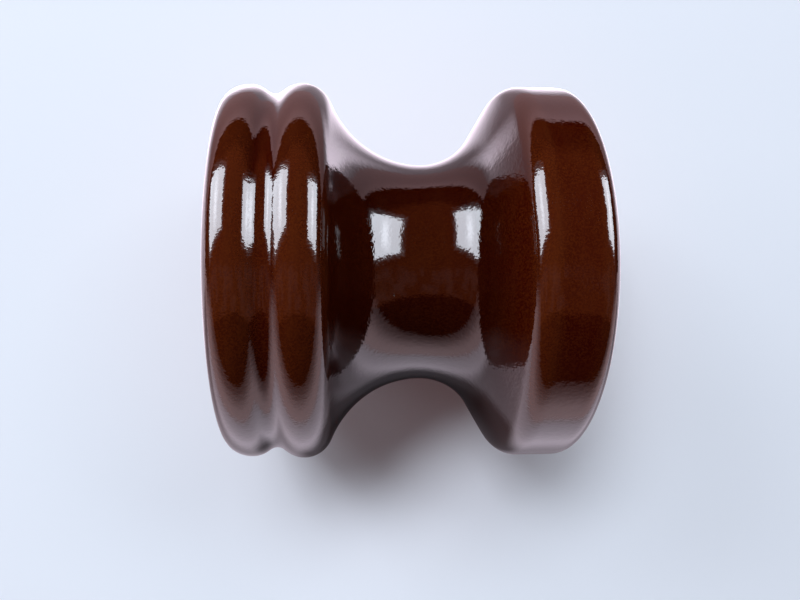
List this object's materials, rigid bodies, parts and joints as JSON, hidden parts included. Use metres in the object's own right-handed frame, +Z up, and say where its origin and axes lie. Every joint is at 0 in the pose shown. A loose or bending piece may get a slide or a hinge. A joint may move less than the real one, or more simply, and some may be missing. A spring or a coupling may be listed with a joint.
{
  "type": "spool insulator",
  "caption": "Glazed porcelain spool insulator: a beaded rim, a deep wire groove at the waist, a plain rounded flange and a straight bolt bore.",
  "frame": {"origin": "on the bore's axis, at mid-length", "axes": "+X along the bore towards the plain flange; the spool lies on its side, +Z up"},
  "size_m": [0.075, 0.08, 0.08],
  "materials": {
    "bare_porcelain": "matt, unglazed",
    "brown_glaze": "high gloss"
  },
  "bodies": {
    "root": {"porcelain_body": "bare_porcelain", "glaze_coat": "brown_glaze"}
  },
  "joints": []
}
